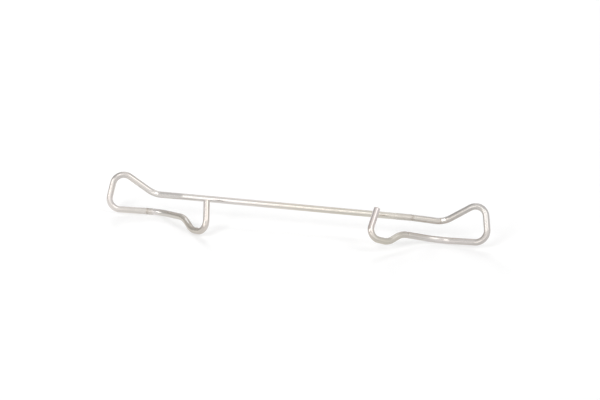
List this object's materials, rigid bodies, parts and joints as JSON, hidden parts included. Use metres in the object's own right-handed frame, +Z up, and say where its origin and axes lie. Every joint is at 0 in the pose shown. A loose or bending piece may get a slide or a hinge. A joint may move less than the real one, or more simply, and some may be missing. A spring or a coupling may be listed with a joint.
{
  "type": "brake caliper spring",
  "caption": "Bent stainless wire spring for a disc brake caliper: a long straight bar, a rounded loop at each end, and inturned hooks with short upturned legs.",
  "frame": {"origin": "centre of the bounding box at the level the spring rests on", "axes": "+X along the straight bar, +Z up with the spring lying as it comes to rest, hooks toward -Y"},
  "size_m": [0.1566, 0.0236, 0.0169],
  "materials": {
    "wire": "bright drawn wire, fine lengthwise die lines"
  },
  "bodies": {
    "root": {"spring_wire": "wire"}
  },
  "joints": []
}
